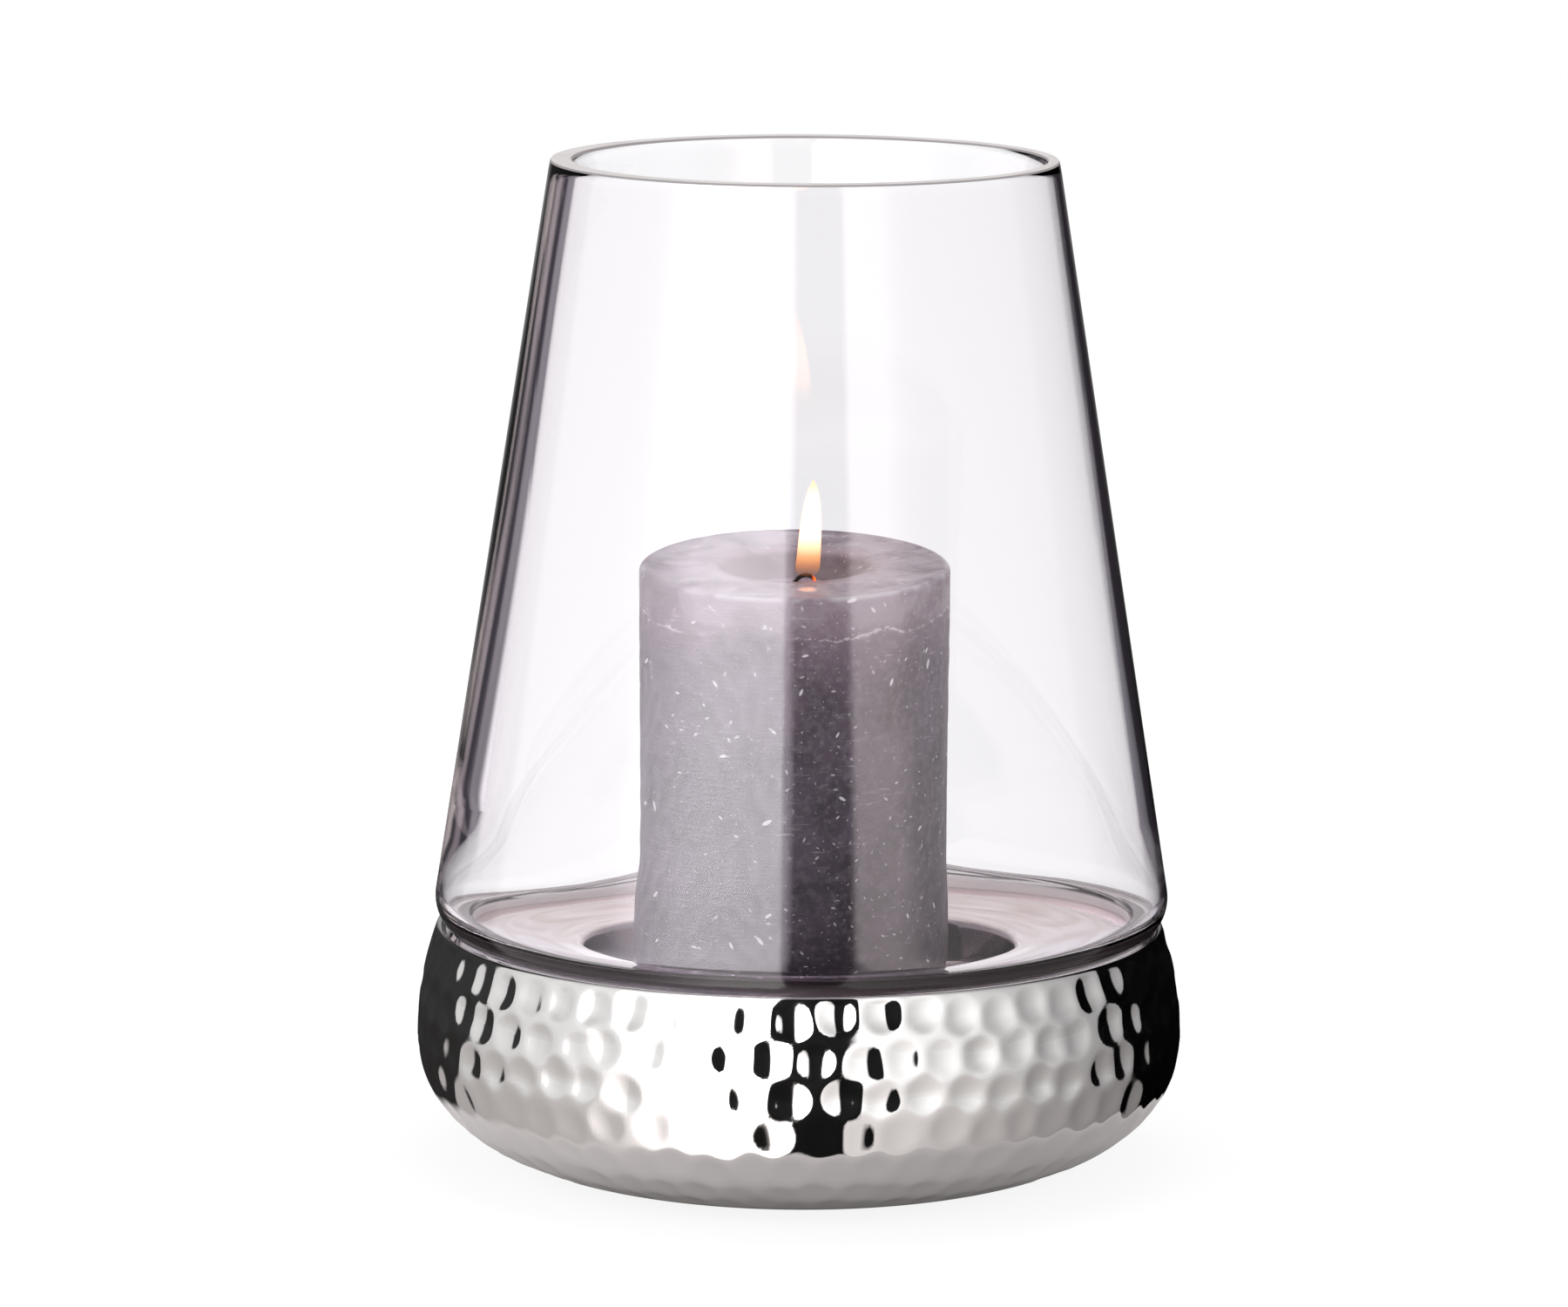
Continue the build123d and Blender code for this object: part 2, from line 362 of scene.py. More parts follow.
def base_outline(s):
    """Outline of the base from the middle of its underside outwards, up the wall and back over the tray.

    Returns the outline and the first and last index of its outer wall, from the foot to the lip."""
    belly = 0.5 * (BASE_HIGH.x - BASE_LOW.x)
    foot = BASE_LOW.z
    lip_height = s.seat_height + s.lip_rise
    mouth_height = s.seat_height - s.tray_fall
    run, rise = belly - s.lip_radius, lip_height - s.belly_height
    side = (run ** 2 + rise ** 2 - s.lip_round ** 2) / (2 * (run - s.lip_round))
    side_centre = (belly - side, s.belly_height)
    side_angle = math.degrees(math.atan2(rise, s.lip_radius - side_centre[0]))

    def belly_curve(inset, count):
        """Lower belly from the foot ring to the widest ring, moved into the wall by inset."""
        start, end = (s.foot_radius, foot + inset), (belly - inset, s.belly_height)
        reach, climb = end[0] - start[0], end[1] - start[1]
        low_pull = (start[0] + 0.5 * reach, start[1] + 0.08 * climb)
        high_pull = (end[0], end[1] - 0.6 * climb)
        return bezier((start, low_pull, high_pull, end), count)

    inner_side = side - s.wall
    under_angle = math.degrees(math.asin((s.seat_height - s.wall - s.belly_height) / inner_side))
    under_seat = arc(side_centre, inner_side, under_angle, under_angle, 1)[0]
    under_mouth = (s.well_radius + s.wall, mouth_height - s.wall)
    corner = (s.well_radius - s.well_draft, s.well_floor)
    under_corner = (corner[0] + s.wall, s.well_floor - s.wall)
    under_middle = (0, under_corner[1])
    foot_outer = (s.foot_radius, foot)
    foot_corner = (s.foot_radius - s.foot_width, foot)
    foot_top = (foot_corner[0], foot + s.wall)
    underside = joined(
        straight((POLE_GAP, under_corner[1]), (under_corner[0] - HIDDEN_ROUND, under_corner[1]), 4),
        fillet(under_middle, under_corner, under_mouth, HIDDEN_ROUND, 4),
        fillet(under_corner, under_mouth, under_seat, HIDDEN_ROUND, 4),
        straight(under_mouth + 0.8 * (under_seat - under_mouth), under_seat, 2),
        arc(side_centre, inner_side, under_angle, 0, 6),
        belly_curve(s.wall, 9)[::-1],
        fillet((s.foot_radius, foot + s.wall), foot_top, foot_corner, s.foot_edge, 4),
        fillet(foot_top, foot_corner, foot_outer, s.foot_edge, 4),
    )
    wall = joined(belly_curve(0, 40), arc(side_centre, side, 0, side_angle, 36))
    lip_inside = (s.lip_radius - s.lip_round, lip_height)
    seat_end = (lip_inside[0], s.seat_height)
    mouth = (s.well_radius, mouth_height)
    tray_start = (s.well_radius + 2 * s.mouth_round, mouth_height)
    pull = 0.4 * (s.seat_radius - tray_start[0])
    inside = joined(
        arc((s.lip_radius, lip_height), s.lip_round, side_angle, 180, 11),
        fillet(lip_inside, seat_end, (0, s.seat_height), s.seat_corner, 5),
        straight((seat_end[0] - 1.1 * s.seat_corner, s.seat_height), (s.seat_radius, s.seat_height), 4),
        bezier(((s.seat_radius, s.seat_height), (s.seat_radius - pull, s.seat_height),
                (tray_start[0] + pull, mouth_height), tray_start), 14),
        fillet(tray_start, mouth, corner, s.mouth_round, 8),
        fillet(mouth, corner, (0, s.well_floor), s.floor_round, 7),
        straight((corner[0] - 1.1 * s.floor_round, s.well_floor), (POLE_GAP, s.well_floor), 4),
    )
    outline = joined(underside, wall, inside)
    first, last = (int(np.argmin(np.linalg.norm(outline - end, axis=1))) for end in (wall[0], wall[-1]))
    return outline, first, last


class LANTERN_OT_hammered_base(Operator):
    """Turn the base and carve its hammer marks"""
    bl_idname = "lantern.hammered_base"
    bl_label = "Hammered Base"

    def execute(self, context):
        s = context.scene.lantern.base
        outline, first, last = base_outline(s)
        along = walked(outline)
        turns, below_lip = np.meshgrid(full_turn(BASE_COLUMNS), along[last] - along)
        from_front = (turns + 0.5 * math.pi) % (2 * math.pi)
        marks = hammer_marks(from_front, below_lip, outline[:, :1], s)
        on_wall = np.zeros((len(outline), 1))
        on_wall[first + 2:last] = 1
        marks *= on_wall
        normals = outward_normals(outline)
        radius, height = outline[:, :1] - marks * normals[:, :1], outline[:, 1:] - marks * normals[:, 1:]
        piece = grid_object("hammered_base", swing_grid(radius, height, turns),
                            first_pole=(0, 0, outline[0, 1]), last_pole=(0, 0, outline[-1, 1]))
        piece.data.materials.append(lustre_finish(s))
        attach(piece, "base")
        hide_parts("base_body")
        return {"FINISHED"}


class LANTERN_OT_felt_pads(Operator):
    """Give the felt pads their fibre finish"""
    bl_idname = "lantern.felt_pads"
    bl_label = "Felt Pads"

    def execute(self, context):
        finish = felt_finish()
        for name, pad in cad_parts.items():
            if name.startswith("felt_pad"):
                pad.data.materials.clear()
                pad.data.materials.append(finish)
        return {"FINISHED"}


# Shade

GLASS_COLUMNS = 360
GLASS_ROWS = 64
CLEAR, GROUND, TOE = 0, 1, 2    # finishes of the glass


def blown_wall(s):
    """Outer wall of the shade from its rim down to the heel's round, the centre of that round and the
    wall's lean, which makes it tangent to the round."""
    widest = 0.5 * (SHADE_HIGH.x - SHADE_LOW.x)
    heel = (widest - s.heel_round, SHADE_LOW.z - s.heel_ground + s.heel_round)
    rise, run = SHADE_HIGH.z - heel[1], s.mouth_radius - heel[0]
    lean = math.atan2(rise, run) - math.acos(s.heel_round / math.hypot(run, rise))
    share = np.linspace(0, 1, GLASS_ROWS)[:, None]
    rim = np.array((s.mouth_radius, SHADE_HIGH.z))
    down = heel + s.heel_round * np.array((math.cos(lean), math.sin(lean)))
    return rim + share * (down - rim), heel, lean


def wall_thickness(height, turns, s):
    """Wall of the blown cone: it grows evenly from the rim to the low wall and meets the heel's wall by a
    smooth step. One side is thicker by the cube of the angle's cosine, less so at the heel."""
    above = height - SHADE_LOW.z
    low_at, heel_at, step = 30 * MM, 8 * MM, 32 * MM
    uneven_at, uneven_step, least_uneven = 9 * MM, 20 * MM, 0.35
    share = np.clip((SHADE_HIGH.z - height) / (SHADE_HIGH.z - SHADE_LOW.z - low_at), 0, 1)
    blend = np.clip((above - heel_at) / step, 0, 1)
    blend = blend ** 2 * (3 - 2 * blend)
    even = s.heel_wall + blend * (s.wall + share * (s.low_wall - s.wall) - s.heel_wall)
    clear = np.clip((above - uneven_at) / uneven_step, 0, 1)
    uneven = -(least_uneven + (1 - least_uneven) * clear) * s.uneven * np.cos(turns) ** 3
    blown = 0.06 * MM * clear * wander(turns, height, seed=5, waves=24, slow=5, fast=60, most_turns=3)
    return even + blend * uneven + blown


class LANTERN_OT_glass_shade(Operator):
    """Turn the blown glass shade with its ground rim and tucked-in heel"""
    bl_idname = "lantern.glass_shade"
    bl_label = "Glass Shade"

    def execute(self, context):
        s = context.scene.lantern.shade
        outer, heel, lean = blown_wall(s)
        ground = math.degrees(math.asin((heel[1] - SHADE_LOW.z) / s.heel_round))
        edge = s.ground_edge
        bore = heel[0] - s.heel_toe
        inner_round = s.heel_round - s.heel_wall
        toe_top = heel[1] - inner_round
        ring = full_turn(GLASS_COLUMNS)[None, :]
        turns = np.repeat(ring, GLASS_ROWS, axis=0)
        thickness = wall_thickness(outer[:, 1:], turns, s)
        inner_radius = outer[:, :1] - thickness * math.cos(lean)
        inner_height = np.minimum(outer[:, 1:] - thickness * math.sin(lean), SHADE_HIGH.z - edge)

        outer[0, 1] -= edge
        outside = joined(outer, arc(heel, s.heel_round, math.degrees(lean), -ground, 16))
        toe = np.array(((bore + edge, SHADE_LOW.z), (bore, SHADE_LOW.z + edge),
                        (bore, toe_top - edge), (bore + edge, toe_top)))
        inner_arc = arc(heel, inner_round, -90, math.degrees(lean), 12)
        rim_inside = swing_grid(inner_radius[:1] + 0.6 * edge, SHADE_HIGH.z, ring, SHADE_CENTRE)
        rim_outside = swing_grid(s.mouth_radius - 0.6 * edge, SHADE_HIGH.z, ring, SHADE_CENTRE)
        points = np.concatenate([
            *(turned(run, ring, SHADE_CENTRE) for run in (outside, toe, inner_arc[:-1])),
            swing_grid(inner_radius, inner_height, turns, SHADE_CENTRE)[::-1],
            rim_inside, rim_outside,
        ])
        piece = grid_object("blown_shade", points, loop_rows=True)
        for finish in (glass_finish(s), ground_finish(), toe_finish(s)):
            piece.data.materials.append(finish)
        finish_rows = np.full(len(points), CLEAR, np.int32)
        finish_rows[-3:] = GROUND
        finish_rows[len(outside):len(outside) + 3] = TOE
        piece.data.polygons.foreach_set("material_index", np.repeat(finish_rows, GLASS_COLUMNS))
        piece.data.polygons.foreach_set("use_smooth", np.repeat(finish_rows != GROUND, GLASS_COLUMNS))
        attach(piece, "shade")
        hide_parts("glass_shade")
        return {"FINISHED"}


# Candle

WAX_COLUMNS = 320
SIDE_ROWS = 130
FLAME_OFFSET = 3.4 * MM         # how far the flame starts to the right of the wick's stem


def rim_plane(across, s):
    """Height of the candle's tilted rim plane: it falls towards the front by the tangent of its tilt."""
    return s.rim_height + across * math.tan(s.tilt)


def bowl_sphere(s):
    """Radius of the sphere that the burn bowl is a cap of: (r^2 + d^2) / 2d."""
    return (s.bowl_radius ** 2 + s.bowl_depth ** 2) / (2 * s.bowl_depth)


def wax_side(rim, turns, s):
    """Side of the candle: a slight waist, sin^2 of its height, and rough hollows that fade at its ends."""
    share = np.linspace(0, 1, SIDE_ROWS)[:, None]
    foot = WAX_LOW.z
    height = foot + s.foot_round + share * (rim - s.rim_round - foot - s.foot_round)
    waist = 0.35 * MM * np.sin(math.pi * share) ** 2
    rough = 0.16 * MM * wander(np.broadcast_to(turns, height.shape), height,
                               seed=3, waves=40, slow=30, fast=500, most_turns=30)
    soft = np.clip(share * 12, 0, 1) * np.clip((1 - share) * 12, 0, 1)
    return swing_grid(WAX_RADIUS - waist - soft * np.abs(rough), height, turns, WAX_CENTRE)


def wax_top(turns, s):
    """Top of the candle: the smooth minimum of its crusted rim plane and the sphere of its burn bowl."""
    ease = 4 * MM
    outer_run = np.linspace(WAX_RADIUS - s.rim_round - 0.6 * MM, s.bowl_radius + 1.2 * MM, 22)
    bowl_run = np.linspace(s.bowl_radius + 0.6 * MM, 0.4 * MM, 30)
    lay = np.repeat(np.concatenate((outer_run, bowl_run))[:, None], WAX_COLUMNS, axis=1)
    crust = 0.22 * MM * wander(np.broadcast_to(turns, lay.shape), lay,
                               seed=8, waves=30, slow=60, fast=600, most_turns=9)
    crust = crust * np.clip((lay - s.bowl_radius) / ease, 0, 1) * np.clip((WAX_RADIUS - lay) / ease, 0, 1)
    worn = 0.35 * MM * np.clip((WAX_RADIUS - lay) / (5 * MM), 0, 1)
    sphere = bowl_sphere(s)
    dish = (s.rim_height - s.bowl_depth + sphere
            - np.sqrt(sphere ** 2 - np.minimum(lay, s.bowl_radius * 1.2) ** 2))
    height = soft_least(rim_plane(lay * np.sin(turns), s) - worn + crust, dish, 0.35 * MM)
    return swing_grid(lay, height, turns, WAX_CENTRE)


class LANTERN_OT_pillar_candle(Operator):
    """Shape the pillar candle with its tilted rim and burn bowl"""
    bl_idname = "lantern.pillar_candle"
    bl_label = "Pillar Candle"

    def execute(self, context):
        s = context.scene.lantern.candle
        turns = full_turn(WAX_COLUMNS)[None, :]
        rim = rim_plane(WAX_RADIUS * np.sin(turns), s)
        foot_arc = arc((WAX_RADIUS - s.foot_round, WAX_LOW.z + s.foot_round), s.foot_round, -90, 0, 6)
        bend = np.radians(np.linspace(0, 90, 8))[1:, None]
        rim_radius = WAX_RADIUS - s.rim_round + s.rim_round * np.cos(bend)
        rim_height = rim - s.rim_round + s.rim_round * np.sin(bend)
        points = np.concatenate([
            turned(foot_arc, turns, WAX_CENTRE),
            wax_side(rim, turns, s),
            swing_grid(rim_radius, rim_height, turns, WAX_CENTRE),
            wax_top(turns, s),
        ])
        piece = grid_object("wax_pillar", points, first_pole=(WAX_CENTRE, 0, WAX_LOW.z),
                            last_pole=(WAX_CENTRE, 0, s.rim_height - s.bowl_depth))
        piece.data.materials.append(WaxFinish(s).finished())
        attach(piece, "candle")
        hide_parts("candle_wax")
        return {"FINISHED"}


class LANTERN_OT_liquid_wax(Operator):
    """Fill the burn bowl with a thin lens of liquid wax"""
    bl_idname = "lantern.liquid_wax"
    bl_label = "Liquid Wax"

    def execute(self, context):
        s = context.scene.lantern.candle
        depth = s.liquid_height - (s.rim_height - s.bowl_depth)
        edge = math.sqrt(2 * bowl_sphere(s) * depth - depth ** 2)
        sunk, meniscus = 0.02 * MM, 0.25 * MM
        share = np.linspace(0, 1, 24)
        below = np.column_stack((edge * share, s.liquid_height - depth * (1 - share ** 2) - sunk))
        above = np.column_stack((edge * share, s.liquid_height + meniscus * share ** 12))[::-1]
        piece = grid_object("liquid_wax", turned(joined(below[1:], above[:-1]), full_turn(96), WAX_CENTRE),
                            first_pole=(WAX_CENTRE, 0, below[0, 1]), last_pole=(WAX_CENTRE, 0, above[-1, 1]))
        piece.data.materials.append(liquid_finish(s))
        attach(piece, "candle")
        return {"FINISHED"}


class LANTERN_OT_charred_wick(Operator):
    """Draw the braided wick with its hooked, charred end"""
    bl_idname = "lantern.charred_wick"
    bl_label = "Charred Wick"

    def execute(self, context):
        s = context.scene.lantern.candle
        low = (WAX_CENTRE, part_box("wick")[0].z)
        stem_top = (WAX_CENTRE, s.liquid_height - 0.6 * MM)
        stem = np.linspace(low, stem_top, 40)
        pulls = MM * np.array(((0, 0), (0.4, 3.1), (4.6, 4.6), (5.7, 1.5)))
        hook = bezier(stem_top + pulls, 36)
        path = np.insert(np.concatenate((stem, hook[1:])), 1, 0, axis=1)
        along = walked(path)[:, None]
        turns = full_turn(24)[None, :]
        twist, plait = 3200, 2100       # radians per metre of the braid's two waves
        braid = 1 + 0.12 * np.cos(3 * turns + along * twist) * np.cos(along * plait)
        end = np.clip((along[-1] - along) / (0.7 * MM), 0.25, 1) ** 0.5
        thickness = s.wick_radius * (0.85 * braid * end)
        tip = path[-1] + (path[-1] - path[-2]) * 0.4
        piece = grid_object("charred_wick", tube_points(path, thickness[..., None], 24),
                            first_pole=tuple(path[0]), last_pole=tuple(tip))
        piece.data.materials.append(wick_finish(path[-1][0]))
        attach(piece, "candle")
        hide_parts("wick")
        return {"FINISHED"}


class LANTERN_OT_candle_flame(Operator):
    """Raise the flame above the hooked wick"""
    bl_idname = "lantern.candle_flame"
    bl_label = "Candle Flame"

    def execute(self, context):
        s = context.scene.lantern.flame
        start = WAX_CENTRE + FLAME_OFFSET
        foot = bezier(((0, 0), (0.75, 0), (1.0, 0.03), (1, 0.12)), 24)
        body = bezier(((1, 0.12), (0.86, 0.42), (0.95, 0.82), (0, 1)), 48)
        outline = joined(foot[1:], body[:-1])
        share = outline[:, 1:]
        points = swing_grid(outline[:, :1] * s.half_width, s.base_height + s.height * share, full_turn(48))
        points[..., 0] += start + s.lean * share ** 0.7
        piece = grid_object("candle_flame", points, first_pole=(start, 0, s.base_height),
                            last_pole=(start + s.lean, 0, s.base_height + s.height))
        piece.data.materials.append(flame_finish(s))
        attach(piece, "candle")
        return {"FINISHED"}


# Finishes

class Finish:
    """A node material or world, with short calls that add nodes and join them."""

    def __init__(self, owner):
        owner.use_nodes = True
        self.owner = owner
        self.tree = owner.node_tree
        self.tree.nodes.clear()

    def node(self, kind, inputs=None, **settings):
        """Add a node, set its properties, and set or join its inputs. A colour has three parts."""
        made = self.tree.nodes.new("ShaderNode" + kind)
        for key, value in settings.items():
            setattr(made, key, value)
        for key, value in (inputs or {}).items():
            socket = made.inputs[key]
            if isinstance(value, bpy.types.NodeSocket):
                self.tree.links.new(value, socket)
            else:
                socket.default_value = (*value, 1.0) if socket.type == "RGBA" else value
        return made

    def where(self, kind="Object"):
        """Place of the shaded point."""
        return self.node("TexCoord").outputs[kind]

    def split(self, vector):
        """The x, y and z of a vector."""
        return tuple(self.node("SeparateXYZ", {0: vector}).outputs)

    def stretched(self, where, *scale):
        """Place with its x, y and z scaled."""
        return self.node("Mapping", {"Vector": where, "Scale": scale}).outputs[0]

    def noise(self, where, scale, detail=2.0, roughness=0.5):
        """Level of a noise pattern, about a half on average."""
        inputs = {"Vector": where, "Scale": scale, "Detail": detail, "Roughness": roughness}
        return self.node("TexNoise", inputs).outputs["Fac"]

    def math(self, operation, first, *rest):
        """Result of a Math node; three or more values take a node for each further one, from the left."""
        for value in rest or (0.0,):
            first = self.node("Math", {0: first, 1: value}, operation=operation).outputs[0]
        return first

    def plus(self, *values):
        """Sum of values."""
        return self.math("ADD", *values)

    def minus(self, first, second):
        """First value less the second."""
        return self.math("SUBTRACT", first, second)

    def times(self, *values):
        """Product of values."""
        return self.math("MULTIPLY", *values)

    def hypot(self, x, y):
        """Square root of x^2 + y^2."""
        return self.math("SQRT", self.plus(self.times(x, x), self.times(y, y)))

    def between(self, value, low, high, start=0.0, end=1.0, kind="SMOOTHSTEP"):
        """Level from start to end while a value goes from low to high, by a smooth step or LINEAR."""
        inputs = {"Value": value, "From Min": low, "From Max": high, "To Min": start, "To Max": end}
        return self.node("MapRange", inputs, interpolation_type=kind).outputs["Result"]

    def mix(self, share, first, second, **settings):
        """Colour between two colours."""
        return self.node("Mix", {0: share, 6: first, 7: second}, data_type="RGBA", **settings).outputs[2]

    def tinted(self, first, second):
        """Product of two colours."""
        return self.mix(1.0, first, second, blend_type="MULTIPLY")

    def scaled(self, colour, level):
        """Colour times a number."""
        return self.node("VectorMath", {0: colour, "Scale": level}, operation="SCALE").outputs[0]

    def ramp(self, value, stops):
        """Colour ramp of (position, colour or grey level) stops."""
        made = self.node("ValToRGB", {0: value})
        band = made.color_ramp
        while len(band.elements) < len(stops):
            band.elements.new(1.0)
        for element, (position, shade) in zip(band.elements, stops):
            element.position = position
            element.color = (*np.broadcast_to(shade, 3), 1.0)
        return made.outputs[0]

    def bump(self, height, strength, distance):
        """Normal of a relief."""
        inputs = {"Strength": strength, "Distance": distance, "Height": height}
        return self.node("Bump", inputs).outputs["Normal"]

    def shader(self, kind, inputs=None):
        """Output of a shader node."""
        return self.node(kind, inputs).outputs[0]

    def principled(self, shown, roughness, inputs=None):
        """Principled shader of a colour and a roughness."""
        return self.shader("BsdfPrincipled", {"Base Color": shown, "Roughness": roughness, **(inputs or {})})

    def choice(self, share, first, second):
        """Shader between two shaders."""
        return self.shader("MixShader", {0: share, 1: first, 2: second})

    def out(self, shader, kind="OutputMaterial"):
        """Join a shader to the output."""
        self.node(kind, {"Surface": shader})
        return self.owner


def new_finish(name):
    """Empty finish of a new material."""
    return Finish(bpy.data.materials.new(name))


# Colours of the lustre's tray and well: painted reflections, a painted highlight and painted shade
TRAY_FRONT_PAINTED_REFLECTION, TRAY_BACK_PAINTED_REFLECTION = (0.86, 0.84, 0.88), (0.68, 0.605, 0.59)
MOUTH_PAINTED_HIGHLIGHT, SWIRL_PAINTED_REFLECTION = (1.0, 0.99, 1.0), (0.92, 0.86, 0.85)
WELL_PAINTED_SHADE, WELL_PAINTED_REFLECTION = (0.20, 0.17, 0.19), (0.52, 0.42, 0.39)
TRAY_RADIUS, WELL_LOWEST = 91.6 * MM, 38.5 * MM     # inside the lip and above the body's underside


def lustre_finish(s):
    """Polished platinum lustre: a mirror with the faintest hand-brushed cloud in its gloss.

    The tray's colour paints reflections: bright at the front with a painted highlight round the front of the
    well's mouth, and rosy at the back with painted swirls of reflection round the mouth; the well is painted
    dark as shade, with painted warm reflections in swirls on its right."""
    f = new_finish("platinum lustre")
    where = f.where()
    x, y, z = f.split(where)
    away = f.hypot(x, y)
    turn = f.math("ARCTAN2", y, x)
    polar = f.node("CombineXYZ", {0: f.times(away, 260.0), 1: f.times(turn, 1.3)}).outputs[0]
    swirl = f.between(f.noise(polar, 1.0, 3.0), 0.42, 0.62)
    back = f.between(y, -30 * MM, 30 * MM)
    right = f.between(x, -20 * MM, 30 * MM)
    # Where the painted highlight lies: round the front of the well's mouth
    mouth = f.times(f.between(away, 68 * MM, 58 * MM), f.minus(1.0, back))
    swirl_reflection = f.times(swirl, f.between(away, 80 * MM, 58 * MM), back)

    # Painted reflections and a painted highlight on the tray, painted shade and painted warm reflections in
    # the well
    tray = f.mix(back, TRAY_FRONT_PAINTED_REFLECTION, TRAY_BACK_PAINTED_REFLECTION)
    tray = f.mix(mouth, tray, MOUTH_PAINTED_HIGHLIGHT)
    tray = f.mix(f.times(swirl_reflection, 0.6), tray, SWIRL_PAINTED_REFLECTION)
    well = f.mix(f.times(right, swirl), WELL_PAINTED_SHADE, WELL_PAINTED_REFLECTION)
    tray = f.mix(f.between(z, 57.2 * MM, 56.0 * MM), tray, well)
    inside = f.times(f.math("LESS_THAN", away, TRAY_RADIUS), f.math("GREATER_THAN", z, WELL_LOWEST))
    shown = f.mix(inside, s.lustre, tray)
    gloss = f.between(f.noise(where, 90.0, 4.0), 0.3, 0.7, 0.025, 0.07, kind="LINEAR")
    relief = f.bump(f.noise(where, 260.0), 0.02, 0.3 * MM)
    return f.out(f.principled(shown, gloss, {"Metallic": 1.0, "Normal": relief}))


HEEL_BEND, WALL_BEND = 1.1, 1.5         # index of refraction of the heel and of the wall above it
# Painted light on the glass: the toe's brown and its lines are painted shade with painted lines of light;
# the rosy toe and the ground rim glow as painted light; the ground rim's edge colour and its colour seen
# from within are painted shade
ROSY_PAINTED_GLOW = (0.76, 0.70, 0.70)
TOE_PAINTED_SHADE, TOE_PAINTED_LIGHT_LINES = (0.020, 0.013, 0.014), (0.13, 0.10, 0.10)
GROUND_DARK, GROUND_PALE = (0.50, 0.475, 0.465), (0.66, 0.63, 0.62)
GROUND_EDGE_PAINTED_SHADE, GROUND_WITHIN_PAINTED_SHADE = (0.30, 0.275, 0.28), (0.24, 0.215, 0.24)


def clear_glass(f, s, bend):
    """Smooth clear glass with an index of refraction."""
    return f.principled(s.tint, 0.0, {"IOR": bend, "Transmission Weight": 1.0})


def satin_glass_painted_glow(f, shown):
    """Ground glass: rough, and glowing with its own colour as painted light that stands in for the room's
    light it scatters.
    """
    return f.principled(shown, 0.6, {"Emission Color": shown, "Emission Strength": 0.30})


def inner_side(f):
    """Whether a face is seen from inside the glass."""
    return f.node("NewGeometry").outputs["Backfacing"]


def glass_finish(s):
    """Clear glass that lets lamps through to what it shuts in.

    The thick heel bends light less than the wall, because the real heel hides its edges; a gloss by facing
    angle, 0.04 + 0.96 facing^5, keeps its reflections as strong as the wall's."""
    f = new_finish("clear glass")
    path = f.node("LightPath").outputs
    height = f.split(f.where())[2]
    upper = f.between(height, SHADE_LOW.z + 4 * MM, SHADE_LOW.z + 32 * MM)
    glass = clear_glass(f, s, f.plus(f.times(upper, WALL_BEND - HEEL_BEND), HEEL_BEND))
    facing = f.node("LayerWeight", {"Blend": 0.5}).outputs["Facing"]
    gloss = f.plus(f.times(f.math("POWER", facing, 5.0), 0.96), 0.04)
    mirror = f.shader("BsdfAnisotropic", {"Color": (1.0, 1.0, 1.0), "Roughness": 0.0})
    glass = f.choice(f.times(gloss, f.minus(1.0, upper)), glass, mirror)
    clear = f.shader("BsdfTransparent", {"Color": (0.95, 0.945, 0.96)})
    lamp = f.math("MAXIMUM", path["Is Shadow Ray"], path["Is Diffuse Ray"])
    return f.out(f.choice(lamp, glass, clear))


def ground_finish():
    """Ground rim: satin glass glowing as painted light, with painted shade on its broken edges and a dim
    grey emission as painted shade where it is seen from inside the wall.
    """
    f = new_finish("ground glass")
    where = f.where()
    height = f.split(where)[2]
    shown = f.mix(f.noise(where, 70.0, 3.0), GROUND_DARK, GROUND_PALE)
    # Painted shade on the broken edges, and a dim emission as painted shade from inside the wall
    edge_painted_shade = f.between(height, SHADE_HIGH.z - 0.05 * MM, SHADE_HIGH.z - 0.20 * MM)
    ground = satin_glass_painted_glow(f, f.mix(edge_painted_shade, shown, GROUND_EDGE_PAINTED_SHADE))
    within = f.shader("Emission", {"Color": GROUND_WITHIN_PAINTED_SHADE})
    return f.out(f.choice(inner_side(f), ground, within))


def toe_finish(s):
    """Cut toe of the heel: rosy satin glowing as painted light below and clear above towards the tray, and,
    as seen through the heel, brown painted shade with thin painted lines of light."""
    f = new_finish("cut glass toe")
    where = f.where()
    height = f.split(where)[2]
    # Painted shade with painted lines of light on the toe, as seen through the heel
    lines = f.between(f.noise(f.stretched(where, 1.0, 1.0, 60.0), 9.0), 0.50, 0.62)
    brown = f.principled(f.mix(lines, TOE_PAINTED_SHADE, TOE_PAINTED_LIGHT_LINES), 0.5)
    low = f.between(height, SHADE_LOW.z + 3.4 * MM, SHADE_LOW.z + 2.4 * MM)
    tray_side = f.choice(low, clear_glass(f, s, HEEL_BEND), satin_glass_painted_glow(f, ROSY_PAINTED_GLOW))
    return f.out(f.choice(inner_side(f), tray_side, brown))


